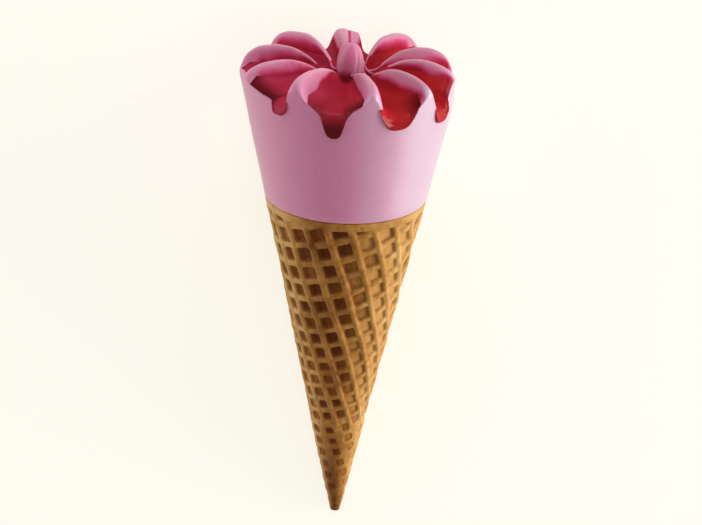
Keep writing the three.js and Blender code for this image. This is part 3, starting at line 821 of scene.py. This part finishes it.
def pockets(distance, turn, scale, places):
    """The same from both grids, at distances along the slant and turns of the unrolled cone."""
    wander = [unevenness(places, [waves]) for waves in GRID_WANDER]
    size = MAP_SCALE * (distance / MAP_SCALE) ** MAP_POWER
    x, y = size * np.cos(turn * MAP_POWER), size * np.sin(turn * MAP_POWER)
    steps = [pitch * MAP_POWER for pitch in MAIN_GRID["pitch"]]
    real = [pitch * scale for pitch in MAIN_GRID["pitch"]]
    u, v, inside, middle, lot = grid_cells(x, y, MAIN_GRID, steps, real, wander)
    middle = MAP_SCALE * (middle / MAP_SCALE) ** (1 / MAP_POWER)
    inside = np.where(middle > TIP_GRID_ENDS[1] + MAIN_GRID_GAP, inside, OUTSIDE)
    x, y, even = distance * np.cos(turn), distance * np.sin(turn), TIP_GRID["pitch"]
    _, _, tip_inside, middle, tip_lot = grid_cells(x, y, TIP_GRID, even, even, wander)
    tip_inside = np.where((middle > TIP_GRID_ENDS[0]) & (middle < TIP_GRID_ENDS[1]), tip_inside, OUTSIDE)
    return u, v, np.maximum(inside, tip_inside), np.where(tip_inside > inside, tip_lot, lot)


def rib_height(u, v):
    """The main ribs are rounded and run on over the lower cross ribs."""
    half_u, half_v = (mouth / 2 for mouth in MAIN_GRID["mouth"])
    main = -MAIN_RIB_CROWN * ramp(0.5 - u, 0, 0.5 - half_u) ** 2
    cross = -CROSS_RIB_CROWN * ramp(0.5 - v, 0, 0.5 - half_v) ** 2 - CROSS_RIB_DROP
    return cross + (np.maximum(main, cross) - cross) * ease(u, half_u / 2, half_u)


def waffle_relief(distance, azimuth):
    """How far the surface stands out from the cone, millimetres inside a pocket's outline, and the pocket's
    random number."""
    behind = np.mod(azimuth - SEAM_AZIMUTH, 360)  # degrees round the cone from the seam
    turn = np.radians(behind + SEAM_AZIMUTH - 270) / SLANT
    places = upright(distance / SLANT, azimuth, distance)
    scale = (distance / MAP_SCALE) ** (1 - MAP_POWER)
    u, v, inside, lot = pockets(distance, turn, scale, places)
    length = 2 * math.pi * distance / SLANT
    around = length * behind / 360  # millimetres from the seam
    band = RIM_RADIUS * SLANT - RIM_BAND
    inside = soft_min(inside, band - distance, 0.3)
    inside = np.minimum(inside, np.minimum(around, length - around) - SEAM_BAND)
    pocket = ease(inside, -0.05, POCKET_SIDE)

    on_main_grid = ease(distance, TIP_GRID_ENDS[1] - 1.5, TIP_GRID_ENDS[1] + 0.5)
    ribs = rib_height(u, v) * on_main_grid * ease(distance, band + 0.6, band - 0.3)
    right = turn_between(azimuth, DARKEST_AZIMUTH)
    shallow = ease(right, 14, 45) * ease(right, 110, 80)
    depth = POCKET_DEPTH * scale * (1 + DEPTH_VARIATION * lot) * (1 - 0.35 * shallow)
    flatter = 0.45 + 0.55 * ease(distance, 25, 80)  # towards the tip
    lumps = unevenness(places, WAFFLE_LUMPS) * (1 - 0.5 * pocket)
    lap = SEAM_STEP * (1 - ramp(around, 0, SEAM_FADE)) * ramp(around, 0, 0.4) * ramp(distance, 8, 30)
    return (ribs - depth * pocket) * flatter + lumps + lap - SUNK, inside, lot


def baking(points, lot):
    """The ribs' toasting and the pockets' browning, each with painted shade round the side that faces the
    camera and painted light to its left and right, and how much paler the right side is painted.
    """
    slant = (points[:, 2] - APEX_Z) / COS
    turned = turn_between(np.degrees(np.arctan2(points[:, 1], points[:, 0])), DARKEST_AZIMUTH)
    # painted light: the right side is paler
    pale = ease(turned, 50, 66)

    # toasting is real near the tip and in blotches; painted shade down the middle and painted light on the
    # left, the right and the tip's right side are added to it
    low = ease(slant, 42, 10) * (1 - 0.95 * ease(turned, 5, 45) * ramp(slant, 10, 22))
    blotches = (1 - 0.5 * ramp(slant, 50, 25)) * unevenness(points, TOAST_BLOTCHES)
    middle = ease(np.abs(turned), 44, 5) * (0.4 + 0.6 * ramp(slant, 15, 70))
    toast_and_painted_shading = 0.1 + 0.7 * low + blotches + 0.5 * middle
    toast_and_painted_shading = toast_and_painted_shading - 0.34 * ease(-turned, 18, 42) + 0.06 * ease(turned, 20, 40) - 0.36 * pale

    # browning is real at random, out of sight and near the tip; the pockets round DARKEST_AZIMUTH get painted
    # shade, and the right side painted light
    width = 0.65 + 0.35 * ramp(slant, 30, 100)
    browning_and_painted_shading = smooth(np.where(turned > 0, ramp(turned, 44 * width, 8), ramp(-turned, 72 * width, 10)))
    hidden = ease(np.abs(turned), 95, 130) * unevenness(points, HIDDEN_BLOTCHES)
    browning_and_painted_shading = browning_and_painted_shading + 0.28 * lot + hidden + 0.5 * ease(slant, 34, 10)
    near_tip = ease(slant, 52, 40) * (1 - 0.45 * ease(turned, 15, 40))
    browning_and_painted_shading = np.maximum(browning_and_painted_shading, near_tip * (0.6 + 0.5 * toast_and_painted_shading)) - 0.3 * pale
    return dict(toast_and_painted_shading=toast_and_painted_shading, browning_and_painted_shading=browning_and_painted_shading, pale=pale)


def build_waffle(material):
    density = 1 + SHOWN_DENSITY * np.cos(np.radians(EVEN_AZIMUTHS - SHOWN_AZIMUTH))
    azimuths = dense_azimuths(WAFFLE_SIDES, density)
    rim = RIM_RADIUS * SLANT
    rings = Rings(WAFFLE_SIDES, inside=OUTSIDE, lot=0)

    def on_slant(distance, raised):
        return upright(distance / SLANT + raised * COS, azimuths, APEX_Z + distance * COS - raised * SIN)

    for share in TIP_RINGS:
        level = TIP_Z + TIP_ROUNDING * (1 - math.sqrt(1 - share ** 2))
        rings.add(upright(TIP_RADIUS * share, azimuths, level))
    for distance in np.linspace(TIP_RADIUS * SLANT, rim - RIM_START, WAFFLE_RINGS):
        raised, inside, lot = waffle_relief(np.full(WAFFLE_SIDES, distance), azimuths)
        rings.add(on_slant(distance, raised), inside=inside, lot=lot)
    edge, _, _ = waffle_relief(np.full(WAFFLE_SIDES, rim), azimuths)
    for before, lower in RIM_ROUNDING:
        rings.add(on_slant(rim - before, edge - lower))
    inner_tip = RIM_Z - (RIM_RADIUS - WAFFLE_THICKNESS) / SLOPE
    rings.add(upright(RIM_RADIUS - WAFFLE_THICKNESS, azimuths, RIM_Z))
    rings.add(upright(INNER_TIP_RADIUS, azimuths, inner_tip + INNER_TIP_RADIUS / SLOPE))
    # the rings run up outside and down again inside
    points, faces, values = rings.skin((0, 0, TIP_Z), (0, 0, inner_tip))
    values |= baking(points, values.pop("lot"))
    return new_piece("waffle_shell", lay_down(points), [face[::-1] for face in faces], values, [material])


# ---- Materials ----

def linear(red, green, blue):
    """A colour as it shows on screen, 0 to 255, as the light values that shaders take."""
    shares = [value / 255 for value in (red, green, blue)]
    return (*[s / 12.92 if s <= 0.04045 else ((s + 0.055) / 1.055) ** 2.4 for s in shares], 1)


class Nodes:
    """Short calls that add nodes to a material. They take colours as linear does."""

    def __init__(self, name):
        self.material = bpy.data.materials.new(name)
        self.material.use_nodes = True
        self.tree = self.material.node_tree
        self.shader = self.tree.nodes["Principled BSDF"]

    def put(self, socket, value):
        if isinstance(value, bpy.types.NodeSocket):
            self.tree.links.new(value, socket)
        else:
            socket.default_value = linear(*value) if socket.type == "RGBA" else value

    def set(self, **inputs):
        for key, value in inputs.items():
            self.put(self.shader.inputs[key.replace("_", " ")], value)

    def add(self, kind, output, inputs={}, **settings):
        """An output of a new node."""
        node = self.tree.nodes.new("ShaderNode" + kind)
        for key, value in settings.items():
            setattr(node, key, value)
        for key, value in inputs.items():
            self.put(node.inputs[key], value)
        return node.outputs[output]

    def attribute(self, name):
        return self.add("Attribute", "Fac", attribute_name=name)

    def aside(self, left, right):
        """0 at one place along X and 1 at another, in metres, and smooth between."""
        along = self.add("SeparateXYZ", "X", {"Vector": self.add("TexCoord", "Object")})
        return self.add("MapRange", "Result", {"Value": along, "From Min": left, "From Max": right},
                        interpolation_type="SMOOTHSTEP")

    def noise(self, scale, detail, stretch=None):
        place = self.add("TexCoord", "Object")
        if stretch:
            place = self.add("Mapping", "Vector", {"Vector": place, "Scale": stretch})
        return self.add("TexNoise", "Fac", {"Vector": place, "Scale": scale, "Detail": detail})

    def plus(self, a, b):
        return self.add("Math", "Value", {0: a, 1: b}, operation="ADD")

    def times(self, a, b):
        return self.add("Math", "Value", {0: a, 1: b}, operation="MULTIPLY")

    def spread(self, value, low, high, to_low=0, to_high=1):
        """value from low to high, turned into to_low to to_high."""
        return self.add("MapRange", "Result", {"Value": value, "From Min": low, "From Max": high,
                                               "To Min": to_low, "To Max": to_high})

    def colours(self, value, *stops):
        """A colour ramp of (place, red, green, blue) stops."""
        output = self.add("ValToRGB", "Color", {"Fac": value})
        elements = output.node.color_ramp.elements
        while len(elements) < len(stops):
            elements.new(0.5)
        for element, (place, *colour) in zip(elements, stops):
            element.position = place
            element.color = linear(*colour)
        return output

    def mix(self, share, a, b):
        return self.add("Mix", 2, {"Factor": share, 6: a, 7: b}, data_type="RGBA")

    def bump(self, height, distance, strength):
        return self.add("Bump", "Normal", {"Height": height, "Distance": distance, "Strength": strength})


# painted light: the wall's colour turns paler and greyer towards the right, standing for the key light's
# sheen there
def painted_sheen_wall_colour(m):
    return m.colours(m.aside(-0.002, 0.022), (0, 214, 127, 167), (0.25, 207, 141, 176),
                     (0.65, 206, 141, 176), (1, 196, 157, 187))


def ice_cream_colour(m, stain, clean):
    """The clean colour, turned to the sauce's where it is stained, with pale streaks."""
    blotch = m.spread(m.noise(260, 2), 0.3, 0.7, -0.10, 0.10)
    edge = m.plus(stain, m.times(blotch, m.spread(stain, 0, 0.3)))
    coated = m.colours(edge, (0, 214, 128, 168), (0.35, 208, 94, 136), (0.68, 190, 50, 84), (1, 158, 26, 38))
    coated = m.mix(m.spread(stain, 0, 0.25, 1, 0), coated, clean)
    streaks = m.spread(m.noise(900, 2, (1, 0.03, 1)), 0.35, 0.65, 0.12, 0.0)
    return m.mix(m.times(streaks, m.spread(stain, 0, 0.3, 1, 0)), coated, (190, 104, 150))


def finish_ice_cream(m, stain, colour, coat, normal):
    """Scattered light, and a satin coat where no sauce is."""
    m.set(Base_Color=colour, Roughness=0.5, Normal=normal)
    m.set(Subsurface_Weight=0.2, Subsurface_Radius=(1.0, 0.45, 0.55), Subsurface_Scale=0.001)
    m.set(Coat_Weight=m.times(coat, m.spread(stain, 0, 0.35, 1, 0.05)), Coat_Roughness=0.5)


def petal_material():
    m = Nodes("strawberry_ice_cream")
    stain = m.attribute("stain")
    # painted light and shade: the clean petals are lighter on the left and darker on the right
    clean = m.mix(m.aside(-0.02, 0.02), (218, 128, 164), (202, 124, 155))
    clean = m.mix(m.attribute("outside"), clean, painted_sheen_wall_colour(m))
    colour = ice_cream_colour(m, stain, clean)
    # painted highlight: the crests and the knob's folds are turned paler, more on the left than on the right
    frost = m.times(m.attribute("frost"), m.spread(m.aside(-0.02, 0.02), 0, 1, 0.3, 0.2))
    colour = m.mix(frost, colour, (226, 192, 208))
    # painted shade: the petals are darkened towards the right, by up to 0.12
    colour = m.mix(m.spread(m.aside(0.002, 0.016), 0, 1, 0, 0.12), colour, (120, 20, 50))
    coat = m.plus(0.55, m.times(m.attribute("outside"), 0.35))
    finish_ice_cream(m, stain, colour, coat, m.bump(m.noise(1500, 3), 0.00003, 0.5))
    m.set(Specular_IOR_Level=0.0, Coat_IOR=1.7)
    return m.material


def wall_material():
    """The ice cream's moulded side, with a stronger coat on its right."""
    m = Nodes("frosted_ice_cream")
    stain = m.attribute("stain")
    colour = ice_cream_colour(m, stain, painted_sheen_wall_colour(m))
    coat = m.spread(m.aside(-0.006, 0.018), 0, 1, 0.35, 1.0)
    finish_ice_cream(m, stain, colour, coat, m.bump(m.noise(1200, 3, (1, 0.2, 1)), 0.00003, 0.5))
    m.set(Specular_IOR_Level=0.15, Coat_IOR=2.3, Sheen_Weight=0.35, Sheen_Roughness=0.5)
    return m.material


def sauce_material():
    m = Nodes("red_fruit_sauce")
    # painted light: the sauce is more magenta on the left and more orange-red on the right, as under a cool
    # light from the left and a warm one from the right
    clear = m.mix(m.aside(-0.015, 0.001), (196, 60, 96), (186, 40, 66))
    clear = m.mix(m.aside(0.001, 0.011), clear, (190, 44, 48))
    colour = m.mix(m.spread(m.attribute("depth"), 0.4, 1.0, 0.0, 0.5), clear, (160, 26, 34))
    colour = m.mix(m.spread(m.noise(120, 2), 0.35, 0.65, 0, 0.25), colour, (156, 20, 36))
    # painted shade: the sauce darkened near and behind the peak, low in the drips and at its edges
    colour = m.mix(m.attribute("dark"), colour, (84, 14, 18))
    m.set(Base_Color=colour, Roughness=0.25, Normal=m.bump(m.noise(500, 2), 0.00008, 0.35))
    m.set(Subsurface_Weight=0.15, Subsurface_Radius=(1.0, 0.12, 0.15), Subsurface_Scale=0.001)
    coat = m.times(m.spread(m.attribute("drip"), 0.2, 1, 0.04, 0.32),
                   m.spread(m.aside(-0.018, -0.008), 0, 1, 0.65, 1))
    m.set(Specular_IOR_Level=0.0, Coat_Weight=coat, Coat_Roughness=0.07)
    return m.material


def waffle_material():
    m = Nodes("baked_waffle")
    inside = m.attribute("inside")
    mottle = m.spread(m.noise(900, 4), 0.3, 0.75, -0.14, 0.14)
    ribs = m.colours(m.spread(m.plus(m.attribute("toast_and_painted_shading"), mottle), -0.5, 1.1),
                     (0, 214, 170, 104), (0.35, 190, 139, 69), (0.65, 162, 107, 42), (1, 106, 56, 14))
    floors = m.colours(m.plus(m.attribute("browning_and_painted_shading"), mottle),
                       (0, 200, 148, 78), (0.5, 154, 92, 27), (1, 106, 47, 5))
    colour = m.mix(m.spread(inside, 0, 0.25), ribs, floors)
    # the pockets' sides are darker: baked browning with painted shade in the recesses, weaker where the right
    # side is painted paler
    outline = m.times(m.spread(inside, -0.15, 0.1), m.spread(inside, 0.6, 0.3))
    outline = m.times(outline, m.spread(m.attribute("pale"), 0, 1, 0.6, 0.25))
    colour = m.mix(outline, colour, (134, 76, 20))
    crumb = m.plus(m.noise(1800, 4), m.times(m.noise(450, 2), 1.5))
    m.set(Base_Color=colour, Roughness=0.48, Normal=m.bump(crumb, 0.0002, 0.6), Specular_IOR_Level=0.18)
    return m.material


def floor_material():
    m = Nodes("pale_floor")
    shade = m.times(m.spread(m.noise(3, 2), 0.3, 0.7), 0.02)
    m.set(Base_Color=m.mix(shade, (150, 148, 142), (140, 138, 130)), Roughness=0.8)
    m.set(Specular_IOR_Level=0.1, Emission_Color=(255, 253, 242), Emission_Strength=0.79)
    return m.material


# ---- Camera, lights, floor ----

VIEW_ELEVATION = 23.64  # over the standing cone's level
VIEW_ROLL = 1.977
VIEW_DISTANCE = 700.0
VIEW_TARGET_Z = 80.0 + APEX_Z
VIEW_ASIDE = (2.27, 4.40)  # the view's middle, right of and above the target
FOCAL_PIXELS = 2496.8
IMAGE_WIDTH = 702
SENSOR_WIDTH = 36.0
# Lights, in metres: place, what they aim at, size, watts and colour.
MIDDLE = (0, 0, 0.03)
LIGHTS = {
    "key_right": ((0.75, 0.10, 0.16), MIDDLE, (0.7, 0.3), 5.3, (1.0, 0.97, 0.93)),
    "fill_left": ((-0.75, 0.05, 0.20), MIDDLE, (0.6, 0.35), 1.5, (1.0, 0.96, 0.95)),
    "sparkle": ((0.75, -0.35, 0.13), MIDDLE, (0.10, 0.06), 0.9, (1.0, 0.96, 0.92)),
    "overhead": ((0.10, -0.15, 0.85), MIDDLE, (0.5, 0.5), 1.2, (1.0, 0.98, 0.96)),
    "flower_top": ((0.02, 0.70, 0.42), (0, 0.05, 0.03), (0.5, 0.4), 1.7, (0.96, 0.97, 1.0)),
}
WORLD_COLOUR = (1.0, 0.97, 0.93, 1)
WORLD_STRENGTH = 0.24
# The floor, in metres: half its size, how far from the middle it starts to sweep up, and how steeply.
FLOOR_HALF = 3.0
FLOOR_LEVEL_END = 2.0
FLOOR_SWEEP = 0.15
FLOOR_STEPS = 24


def build_camera():
    e, roll = math.radians(VIEW_ELEVATION), math.radians(VIEW_ROLL)
    target = Vector((0, 0, VIEW_TARGET_Z))
    place = target + Vector((0, -math.cos(e), math.sin(e))) * VIEW_DISTANCE
    level, up = Vector((1, 0, 0)), Vector((0, math.sin(e), math.cos(e)))
    right = level * math.cos(roll) + up * math.sin(roll)
    up = up * math.cos(roll) - level * math.sin(roll)
    back = (place - (target + right * VIEW_ASIDE[0] + up * VIEW_ASIDE[1])).normalized()
    right = up.cross(back).normalized()
    turned = LAY @ Matrix((right, back.cross(right), back)).transposed()
    data = bpy.data.cameras.new("photo_view")
    data.sensor_width = SENSOR_WIDTH
    data.lens = FOCAL_PIXELS * SENSOR_WIDTH / IMAGE_WIDTH
    data.clip_start, data.clip_end = 0.01, 10
    camera = new_object("photo_view", data)
    camera.location = lay_down(np.array([place]), keep_above_floor=False)[0]
    camera.rotation_mode = "QUATERNION"
    camera.rotation_quaternion = turned.to_quaternion()
    bpy.context.scene.camera = camera


def build_lights():
    for name, (place, aim, size, watts, colour) in LIGHTS.items():
        data = bpy.data.lights.new(name, "AREA")
        data.shape = "RECTANGLE"
        data.size, data.size_y = size
        data.energy = watts
        data.color = colour
        light = new_object(name, data)
        light.location = place
        light.rotation_mode = "QUATERNION"
        light.rotation_quaternion = (Vector(place) - Vector(aim)).to_track_quat("Z", "Y")
    world = bpy.data.worlds.new("studio")
    bpy.context.scene.world = world
    world.use_nodes = True
    background = world.node_tree.nodes["Background"]
    background.inputs["Color"].default_value = WORLD_COLOUR
    background.inputs["Strength"].default_value = WORLD_STRENGTH


def build_floor(material):
    line = np.linspace(-FLOOR_HALF, FLOOR_HALF, FLOOR_STEPS + 1)
    x, y = np.meshgrid(line, line)
    beyond = np.clip(np.hypot(x, y) - FLOOR_LEVEL_END, 0, None)
    points = np.stack([x, y, FLOOR_SWEEP * beyond ** 2], axis=-1).reshape(-1, 3)
    index = np.arange(x.size).reshape(x.shape)
    faces = np.stack([index[:-1, :-1], index[:-1, 1:], index[1:, 1:], index[1:, :-1]], axis=-1)
    floor = new_piece("floor", points, faces.reshape(-1, 4), {}, [material])


# ---- The scene ----

bpy.context.scene.view_settings.view_transform = "Standard"
build_camera()
build_lights()
build_floor(floor_material())

petals = petal_material()
for piece, node, slot in (
    (build_waffle(waffle_material()), "waffle_cone", "waffle"),
    (build_ice_cream(petals, wall_material()), "ice_cream", "ice_cream"),
    (build_sauce(sauce_material()), "red_sauce", "sauce"),
):
    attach(piece, "root")
    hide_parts(node)

strands = build_strands(petals)
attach(strands, "root")
